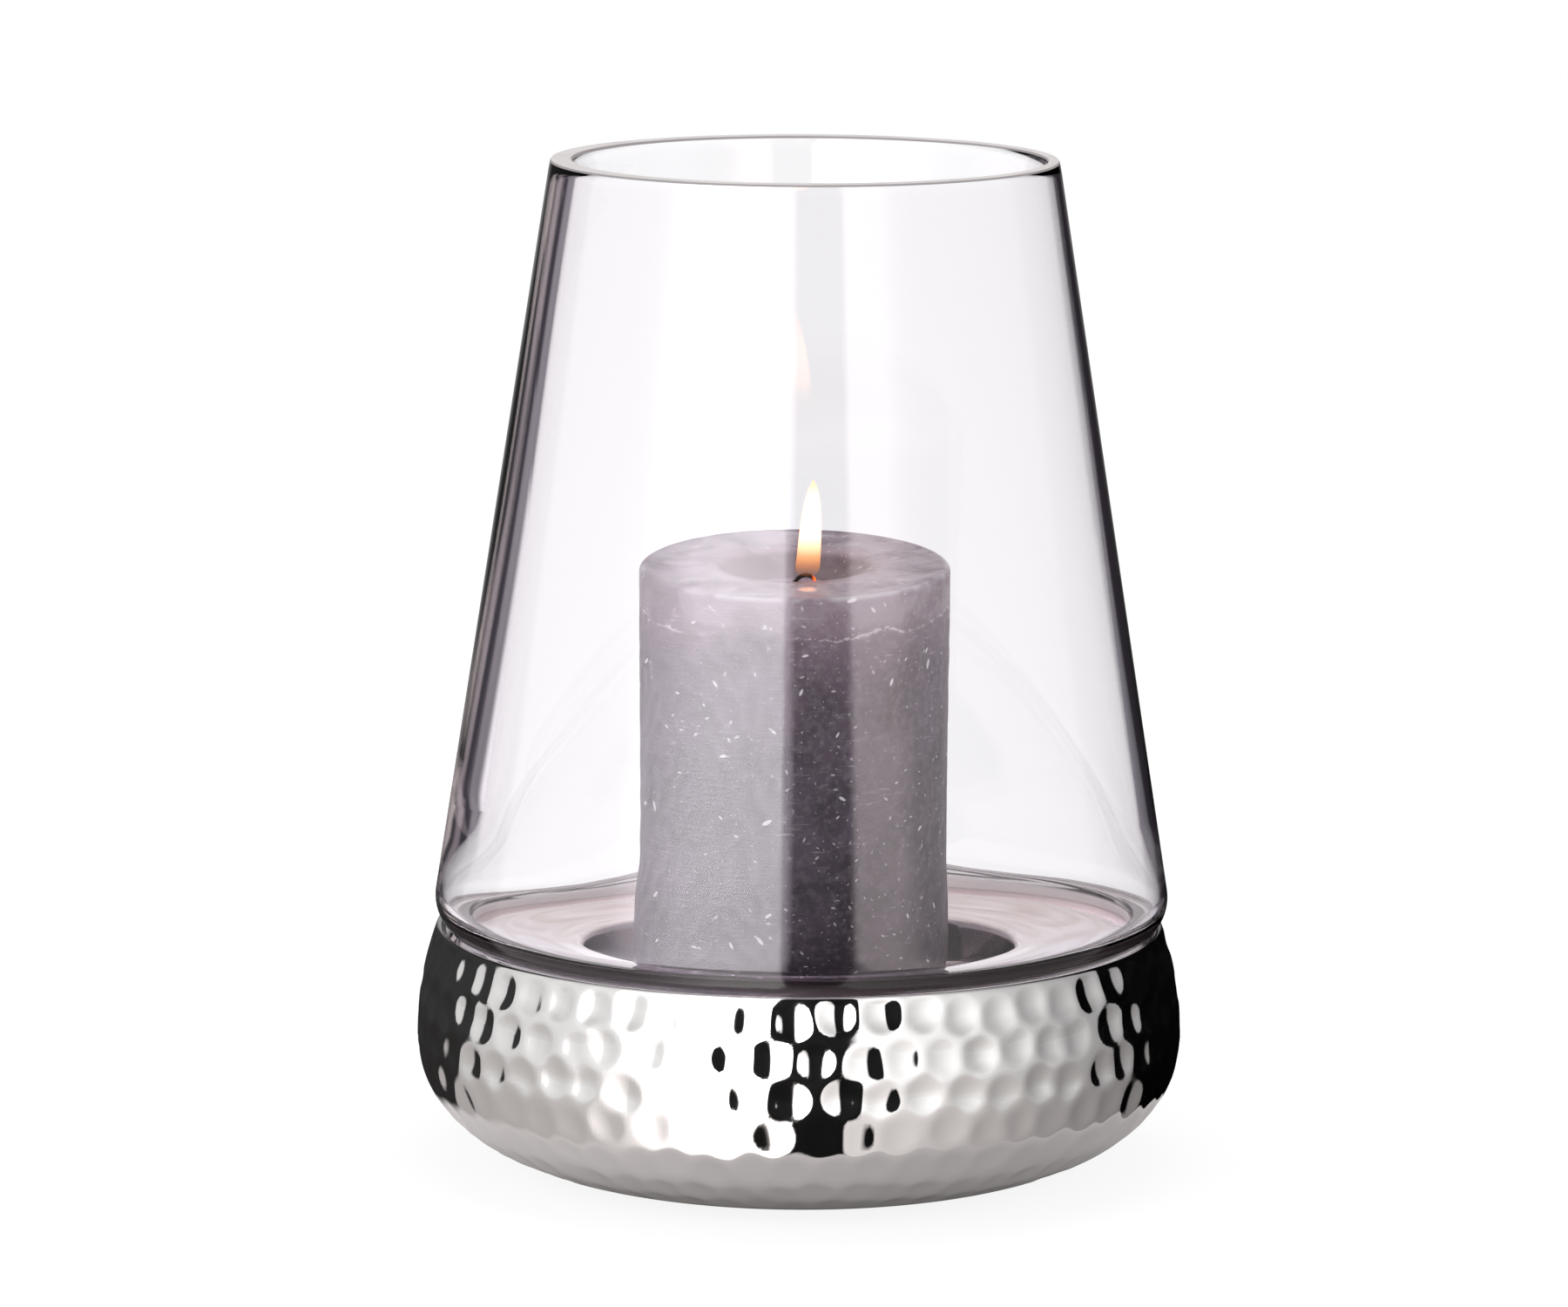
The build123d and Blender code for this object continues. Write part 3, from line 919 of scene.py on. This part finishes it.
def flecks(f, where, turn, scale, share, half_length, half_width):
    """Slim flecks in some cells of a Voronoi pattern, each turned and sized by its cell's random colour.

    The offset from the cell's centre is split into a run along the turned surface and a rise, and a fleck is
    where the two, turned by its angle and divided by its half length and half width, are within a circle."""
    cell = f.node("TexVoronoi", {"Vector": where, "Scale": scale, "Randomness": 1.0}).outputs
    pick, tilt, growth = f.node("SeparateColor", {0: cell["Color"]}).outputs
    offset = f.node("VectorMath", {0: where, 1: cell["Position"]}, operation="SUBTRACT").outputs[0]
    x, y, rise = f.split(offset)
    run = f.minus(f.times(y, f.math("COSINE", turn)), f.times(x, f.math("SINE", turn)))
    lean = f.times(f.minus(tilt, 0.5), 2.6)
    cosine, sine = f.math("COSINE", lean), f.math("SINE", lean)
    size = f.plus(f.times(growth, 0.8), 0.4)
    along = f.plus(f.times(run, cosine), f.times(rise, sine))
    aside = f.minus(f.times(rise, cosine), f.times(run, sine))
    reach = f.hypot(f.math("DIVIDE", along, f.times(size, half_length)),
                    f.math("DIVIDE", aside, f.times(size, half_width)))
    return f.times(f.between(reach, 1.0, 0.55), f.math("LESS_THAN", pick, share))


# Painted shade towards the candle's foot and in its bowl
FOOT_PAINTED_SHADE, BOWL_PAINTED_SHADE = (0.036, 0.028, 0.040), (0.085, 0.058, 0.062)
MIRRORED_FLAME = (1.0, 0.42, 0.20)
# Cells per metre, share of cells with a fleck, half length and half width in millimetres, and strength
FLECKS = ((105.0, 0.26, 1.45, 0.55, 1.0), (240.0, 0.25, 0.75, 0.30, 0.6), (560.0, 0.24, 0.36, 0.20, 0.42))


class WaxFinish(Finish):
    """Dyed rustic wax, with places measured from the candle's axis and down from its rim plane."""

    def __init__(self, s):
        super().__init__(bpy.data.materials.new("lilac wax"))
        self.s = s
        self.place = self.where()
        x, self.y, z = self.split(self.place)
        self.across = self.minus(x, WAX_CENTRE)
        self.away = self.hypot(self.across, self.y)
        self.turn = self.math("ARCTAN2", self.y, self.across)
        self.depth = self.minus(self.plus(self.times(self.y, math.tan(s.tilt)), s.rim_height), z)
        self.cloud = self.noise(self.place, 48.0, 5.0, 0.55)
        self.ragged = self.noise(self.place, 75.0, 4.0, 0.6)
        self.fine = self.noise(self.place, 520.0, 4.0, 0.65)
        self.grain = self.noise(self.stretched(self.place, 1.0, 1.0, 11.0), 130.0, 5.0, 0.7)
        self.level = self.plus(self.depth, self.times(self.minus(self.ragged, 0.5), 9 * MM))
        self.in_bowl = self.between(self.away, s.bowl_radius + 1 * MM, s.bowl_radius - 2 * MM)
        self.on_top = self.between(self.depth, 1.0 * MM, 0.4 * MM)

    def dye(self):
        """Clouded colour: painted shade makes it darker towards the foot and in the bowl, with pale bloom in
        a band under the rim and in the crust of the top."""
        s = self.s
        darker, paler = ([share * part for part in s.wax] for share in (0.62, 1.45))
        shown = self.mix(self.between(self.cloud, 0.36, 0.64), darker, paler)
        shown = self.mix(self.times(self.between(self.fine, 0.42, 0.72), 0.28), shown, s.bloom)
        # Painted shade, darker towards the foot
        foot_shade = self.between(self.depth, 12 * MM, 115 * MM, kind="LINEAR")
        shown = self.mix(self.times(foot_shade, 0.62), shown, FOOT_PAINTED_SHADE)
        patches = self.plus(self.times(self.between(self.ragged, 0.36, 0.64), 0.55), 0.05)
        band = self.between(self.level, 11.8 * MM, 7.2 * MM)
        shown = self.mix(self.times(band, patches), shown, s.bloom)
        crust = self.between(self.noise(self.place, 170.0, 5.0, 0.6), 0.40, 0.66)
        crust = self.plus(self.times(crust, 0.60), 0.03)
        outside_bowl = self.between(self.away, s.bowl_radius - 1 * MM, s.bowl_radius + 2 * MM)
        shown = self.mix(self.times(self.on_top, outside_bowl, crust), shown, s.bloom)
        # Painted shade in the bowl
        bowl = self.times(self.in_bowl, self.between(self.depth, 10 * MM, 8.5 * MM))
        return self.mix(self.times(bowl, 0.60), shown, BOWL_PAINTED_SHADE)

    def marks(self):
        """Pale marks: a broken bloom line, a painted highlight along the edge of the rim, turned scratches
        and three sizes of flecks. A mark's level is the greatest of theirs."""
        from_line = self.math("ABSOLUTE", self.minus(self.level, 10 * MM))
        line = self.times(self.between(from_line, 0.55 * MM, 0.15 * MM), self.between(self.fine, 0.40, 0.56),
                          self.between(self.cloud, 0.46, 0.58))
        # Painted highlight along the edge of the rim
        rim = WAX_HIGH.x - WAX_CENTRE
        edge = self.times(self.between(self.math("ABSOLUTE", self.depth), 1.3 * MM, 0.3 * MM),
                          self.between(self.away, rim - 1.9 * MM, rim - 0.9 * MM),
                          self.between(self.ragged, 0.35, 0.62))
        scratch = self.times(self.between(self.grain, 0.58, 0.72), self.between(self.cloud, 0.42, 0.6))
        found = [self.times(line, 0.6), self.times(edge, 0.42)]
        for scale, share, half_length, half_width, strength in FLECKS:
            fleck = flecks(self, self.place, self.turn, scale, share, half_length * MM, half_width * MM)
            found.append(self.times(fleck, strength))
        return self.math("MAXIMUM", *found, self.times(scratch, 0.36))

    def warmth(self):
        """Colour and level of the flame's light in the wax: it fades with depth, is weaker on the top and in
        the bowl, and has a glint of the flame on the front of the top."""
        fade = self.ramp(self.times(self.depth, 20.0),
                         ((0.0, 1.0), (0.16, 0.80), (0.30, 0.36), (0.5, 0.13), (1.0, 0.0)))
        shaded = self.math("MAXIMUM", self.times(self.on_top, 0.62), self.times(self.in_bowl, 0.85))
        heat = self.times(fade, self.minus(1.0, shaded), self.s.heat)
        glint_x = self.math("DIVIDE", self.minus(self.across, 3.6 * MM), 2.9 * MM)
        glint_y = self.math("DIVIDE", self.plus(self.y, 28.0 * MM), 3.8 * MM)
        glint = self.plus(self.times(glint_x, glint_x), self.times(glint_y, glint_y))
        glint = self.times(self.between(glint, 1.0, 0.15), self.on_top)
        return self.mix(glint, self.s.glow, MIRRORED_FLAME), self.plus(heat, self.times(glint, 0.55))

    def finished(self):
        """The material."""
        marks = self.marks()
        lit, heat = self.warmth()
        relief = self.bump(self.plus(self.times(self.grain, 0.35), self.cloud, marks), 0.35, 0.5 * MM)
        return self.out(self.principled(self.mix(marks, self.dye(), self.s.fleck), 0.5, {
            "IOR": 1.44, "Specular IOR Level": 0.35, "Normal": relief, "Subsurface Weight": 0.2,
            "Subsurface Radius": (4 * MM, 3 * MM, 4 * MM), "Subsurface Scale": 1.0,
            "Emission Color": lit, "Emission Strength": heat,
        }))


def liquid_finish(s):
    """Liquid wax: the wax colour, paler and wet, with the flame's light in it as a faint painted glow."""
    f = new_finish("liquid wax")
    cloud = f.noise(f.where(), 80.0, 3.0)
    darker, paler = ([share * part for part in s.wax] for share in (1.5, 2.3))
    # Faint emission of the flame's glow colour: painted glow
    return f.out(f.principled(f.mix(cloud, darker, paler), 0.08,
                              {"IOR": 1.44, "Emission Color": s.glow, "Emission Strength": 0.09}))


def wick_finish(tip_x):
    """Charred cotton that glows at its tip."""
    f = new_finish("charred cotton")
    where = f.where()
    fibre = f.noise(where, 900.0, 3.0)
    shown = f.mix(fibre, (0.004, 0.003, 0.003), (0.03, 0.022, 0.02))
    ember = f.between(f.split(where)[0], tip_x - 1.1 * MM, tip_x + 0.1 * MM)
    return f.out(f.principled(shown, 0.9, {
        "Normal": f.bump(fibre, 0.6, 0.2 * MM),
        "Emission Color": (1.0, 0.16, 0.03), "Emission Strength": f.times(ember, 1.6),
    }))


def felt_finish():
    """Grey felt with short fibres."""
    f = new_finish("felt")
    fibre = f.noise(f.where(), 1800.0, 4.0, 0.8)
    shown = f.mix(fibre, (0.16, 0.155, 0.15), (0.32, 0.31, 0.30))
    return f.out(f.principled(shown, 0.95, {"Normal": f.bump(fibre, 0.7, 0.2 * MM), "Sheen Weight": 0.4}))


def flame_finish(s):
    """Flame: clear and orange at its foot, yellow and then white in its body, clear at its outline."""
    f = new_finish("flame")
    share = f.between(f.split(f.where())[2], s.base_height, s.base_height + s.height, kind="LINEAR")
    heat = f.ramp(share, (
        (0.0, (0.083, 0.032, 0.016)), (0.12, (0.135, 0.053, 0.023)), (0.22, (0.195, 0.09, 0.041)),
        (0.32, (0.33, 0.18, 0.105)), (0.42, (0.85, 0.30, 0.18)), (0.85, (0.95, 0.32, 0.18)),
        (1.0, (0.42, 0.17, 0.085)),
    ))
    facing = f.node("LayerWeight", {"Blend": 0.35}).outputs["Facing"]
    thick = f.times(f.between(facing, 0.97, 0.45), f.between(share, -0.05, 0.28))
    light = f.shader("Emission", {"Color": heat, "Strength": s.strength})
    return f.out(f.choice(thick, f.shader("BsdfTransparent"), light))


# Stage

# The studio round the horizon: stops of (degrees, colour or grey level). The angle runs from -180 degrees
# through the front (0) to +180 degrees, negative to the left.
# What the base and the outside of the glass mirror: two screens with a dark gap between them, dark behind
SCREENS = (
    (-180, 0.40), (-170, 0.35), (-160, 0.045), (-112, 0.045), (-108.5, 0.85), (-93, 0.95), (-77, 1.0),
    (-62, 1.15), (-50, 2.0), (-30, 4.4), (-7, 4.6), (-5.5, 0.02), (16, 0.015), (17.5, 1.6), (27, 1.45),
    (45, 1.15), (70, 0.74), (106, 0.40), (108.5, 0.002), (163, 0.002), (172, 0.25), (180, 0.30),
)
# What one wall of the glass mirrors or turns aside: stripes along its edges, the same screens in front
WALL_STRIPES = (
    (-180, (0.06, 0.055, 0.06)), (-176, (0.07, 0.06, 0.065)), (-174, (1.05, 0.90, 0.90)),
    (-165.5, (0.95, 0.82, 0.83)), (-163.5, (0.09, 0.08, 0.09)), (-160.5, (0.08, 0.07, 0.085)),
    (-158.5, (0.36, 0.30, 0.34)), (-155, (0.32, 0.27, 0.31)), (-153, (0.05, 0.043, 0.06)),
    (-148, (0.05, 0.043, 0.06)), (-146, (0.30, 0.27, 0.31)), (-140, (0.30, 0.28, 0.31)),
    (-137, (1.2, 1.12, 1.18)), (-78, (1.3, 1.2, 1.3)), (-68, (1.8, 1.65, 1.85)), (-60, (4.2, 3.85, 4.35)),
    (-43, (7.2, 6.6, 7.4)), (-8, (5.6, 5.1, 5.7)), (-5.0, (4.2, 3.8, 4.3)), (-3.2, 0.02), (16.3, 0.02),
    (18.5, (2.7, 2.2, 2.25)), (32, (2.9, 2.4, 2.45)), (40, (1.0, 0.82, 0.85)), (48, (0.4, 0.34, 0.35)),
    (136, (0.8, 0.76, 0.8)), (139, (0.22, 0.20, 0.235)), (147, (0.20, 0.185, 0.21)),
    (149, (0.04, 0.033, 0.043)), (162, (0.035, 0.03, 0.038)), (166, (0.15, 0.13, 0.135)),
    (170, (0.035, 0.03, 0.037)),
)
FLOOR_RINGS = (0.05, 0.1, 0.2, 0.4, 0.8, 1.0)       # shares of the floor's radius
# Place and size in metres, and share of the lamp power
LAMPS = (((-1.3, -1.1, 0.9), 0.9, 1.0), ((1.4, -1.0, 0.9), 0.9, 0.7), ((0.0, 0.2, 1.7), 1.2, 1.4))
LAMP_AIM = Vector((0, 0, 0.1))


def studio_ring(f, x, y, stops):
    """Radiance of the studio in the direction atan2(x, -y) round the vertical, from its stops."""
    turn = f.math("ARCTAN2", x, f.times(y, -1.0))
    azimuth = f.plus(f.math("DIVIDE", turn, 2 * math.pi), 0.5)
    peak = max(float(np.max(shade)) for _, shade in stops)
    ring = f.ramp(azimuth, [(degrees / 360 + 0.5, np.divide(shade, peak)) for degrees, shade in stops])
    return f.scaled(ring, peak)


def ray_kinds(f):
    """Whether a ray was mirrored, went through a wall of glass, through more, and lights rough surfaces."""
    path = f.node("LightPath").outputs
    mirrored = f.math("GREATER_THAN", path["Glossy Depth"], 0.5)
    through = f.math("GREATER_THAN", path["Transmission Depth"], 0.5)
    farther = f.math("GREATER_THAN", path["Transmission Depth"], 2.5)
    return mirrored, through, farther, path["Is Diffuse Ray"]


def floor_finish():
    """Pale floor; in reflections, the studio's screens with the shade under the lantern."""
    f = new_finish("pale floor")
    where = f.where()
    x, y, _ = f.split(where)
    away = f.node("VectorMath", {0: where}, operation="LENGTH").outputs["Value"]
    mirrored, through, farther, lighting = ray_kinds(f)

    paint = f.mix(lighting, (0.16, 0.16, 0.16), (0.75, 0.75, 0.75))
    lift = f.minus(f.between(away, 0.12, 0.5, 0.885, 0.945), f.times(through, 0.03))
    pale = f.shader("AddShader", {
        0: f.shader("BsdfDiffuse", {"Color": paint}),
        1: f.shader("Emission", {"Strength": f.times(lift, f.minus(1.0, lighting))}),
    })

    fade = f.ramp(away, ((0.11, (0.60, 0.57, 0.56)), (0.17, (0.68, 0.65, 0.64)), (0.35, (0.86, 0.85, 0.84)),
                         (1.0, 1.0)))
    screens = f.tinted(studio_ring(f, x, f.plus(y, 50 * MM), SCREENS), fade)
    shade = f.ramp(f.times(away, 8.0), ((0.5, (0.09, 0.085, 0.08)), (0.58, (0.24, 0.23, 0.225)),
                                        (0.70, (0.52, 0.50, 0.495)), (0.92, (0.80, 0.765, 0.76))))
    shade = f.scaled(shade, f.between(x, -60 * MM, 70 * MM, 1.10, 0.74, kind="LINEAR"))
    shade_end = f.between(x, -80 * MM, 20 * MM, 100 * MM, 112.5 * MM, kind="LINEAR")
    direct = f.mix(f.between(away, shade_end, 115.5 * MM), shade, screens)
    inside = f.mix(farther, studio_ring(f, x, y, WALL_STRIPES), (0.85, 0.83, 0.84))
    studio = f.shader("Emission", {"Color": f.mix(through, direct, inside)})
    return f.out(f.choice(mirrored, pale, studio))


def studio_world():
    """White behind the object; in reflections the studio's screens, dark sides and grey ceiling."""
    f = Finish(bpy.data.worlds.new("studio"))
    where = f.where("Generated")
    x, y, z = f.split(where)
    mirrored, through, farther, lighting = ray_kinds(f)

    level = f.ramp(z, ((0.0, 1.0), (0.25, 1.08), (0.45, 1.0), (0.62, 0.78), (0.8, 0.55)))
    direct = f.tinted(studio_ring(f, x, y, SCREENS), level)
    direct = f.mix(f.between(z, 0.75, 0.92), direct, (0.62, 0.60, 0.60))

    across = f.plus(f.times(x, 0.5), 0.5)
    tray = f.ramp(across, ((0.2, (0.98, 0.96, 0.98)), (0.45, (0.96, 0.93, 0.95)), (0.9, (0.95, 0.92, 0.92))))
    streak = f.between(f.noise(f.stretched(where, 2.0, 2.0, 15.0), 1.6), 0.35, 0.65)
    tray = f.mix(streak, f.tinted(tray, (0.84, 0.80, 0.78)), tray)
    inner = f.mix(farther, studio_ring(f, x, y, WALL_STRIPES), tray)

    seen = f.mix(through, (1.0, 1.0, 1.0), (0.97, 0.97, 0.97))
    lit = f.mix(lighting, seen, (0.42, 0.42, 0.43))
    shown = f.mix(mirrored, lit, f.mix(through, direct, inner))
    return f.out(f.shader("Background", {"Color": shown}), "OutputWorld")


class LANTERN_OT_stage(Operator):
    """Set up the pale floor, the soft studio light and the camera"""
    bl_idname = "lantern.stage"
    bl_label = "Stage"

    def execute(self, context):
        scene = context.scene
        s = scene.lantern.stage
        rings = np.array(FLOOR_RINGS)[:, None] * s.floor_radius
        floor = grid_object("floor", swing_grid(rings, 0.0, full_turn(96)), first_pole=(0, 0, 0))
        floor.data.materials.append(floor_finish())
        scene.world = studio_world()
        for place, size, share in LAMPS:
            self.lamp(scene, place, size, share * s.lamp_power)
        self.camera(scene, s)
        scene.view_settings.view_transform = "Standard"
        return {"FINISHED"}

    def lamp(self, scene, place, size, power):
        """Soft square lamp aimed at the lantern."""
        light = bpy.data.lights.new("soft lamp", "AREA")
        light.size, light.energy = size, power
        lamp = bpy.data.objects.new("soft lamp", light)
        turn = (LAMP_AIM - Vector(place)).to_track_quat("-Z", "Y")
        lamp.matrix_world = Matrix.Translation(place) @ turn.to_matrix().to_4x4()
        lamp.visible_camera = lamp.visible_glossy = lamp.visible_transmission = False
        scene.collection.objects.link(lamp)

    def camera(self, scene, s):
        """Camera at the height and distance of the front view."""
        lens = bpy.data.cameras.new("camera")
        lens.lens, lens.sensor_width = s.lens, 36.0
        lens.clip_start, lens.clip_end = 0.1, 20.0
        camera = bpy.data.objects.new("camera", lens)
        aimed = Matrix.Rotation(s.camera_turn, 4, "Z")
        aimed = aimed @ Matrix.Rotation(math.pi / 2 - s.camera_pitch, 4, "X")
        rolled = aimed @ Matrix.Rotation(s.camera_roll, 4, "Z")
        camera.matrix_world = Matrix.Translation((0, -s.camera_distance, s.camera_height)) @ rolled
        scene.collection.objects.link(camera)
        scene.camera = camera


# Title, settings and operators of each box of the panel
SECTIONS = (
    ("Base", "base", (LANTERN_OT_hammered_base, LANTERN_OT_felt_pads)),
    ("Shade", "shade", (LANTERN_OT_glass_shade,)),
    ("Candle", "candle", (LANTERN_OT_pillar_candle, LANTERN_OT_liquid_wax, LANTERN_OT_charred_wick)),
    ("Flame", "flame", (LANTERN_OT_candle_flame,)),
    ("Stage", "stage", (LANTERN_OT_stage,)),
)


class LANTERN_PT_sidebar(Panel):
    """Settings and makers of the lantern"""
    bl_idname = "LANTERN_PT_sidebar"
    bl_label = "Hurricane Lantern"
    bl_space_type = "VIEW_3D"
    bl_region_type = "UI"
    bl_category = "Lantern"

    def draw(self, context):
        for title, key, makers in SECTIONS:
            settings = getattr(context.scene.lantern, key)
            box = self.layout.box()
            box.label(text=title)
            for setting in settings.bl_rna.properties.keys():
                if setting not in ("rna_type", "name"):
                    box.prop(settings, setting)
            for maker in makers:
                box.operator(maker.bl_idname)


CLASSES = (BaseSettings, ShadeSettings, CandleSettings, FlameSettings, StageSettings, LanternSettings,
           *(maker for _, _, makers in SECTIONS for maker in makers), LANTERN_PT_sidebar)


def register():
    """Register the classes and attach the settings to the scene."""
    for kind in CLASSES:
        bpy.utils.register_class(kind)
    bpy.types.Scene.lantern = PointerProperty(type=LanternSettings)


def unregister():
    """Take the settings and classes away again."""
    del bpy.types.Scene.lantern
    for kind in reversed(CLASSES):
        bpy.utils.unregister_class(kind)


def main():
    """Make the lantern and its stage."""
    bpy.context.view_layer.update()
    register()
    bpy.ops.lantern.hammered_base()
    bpy.ops.lantern.felt_pads()
    bpy.ops.lantern.glass_shade()
    bpy.ops.lantern.pillar_candle()
    bpy.ops.lantern.liquid_wax()
    bpy.ops.lantern.charred_wick()
    bpy.ops.lantern.candle_flame()
    bpy.ops.lantern.stage()


if __name__ == "__main__":
    main()
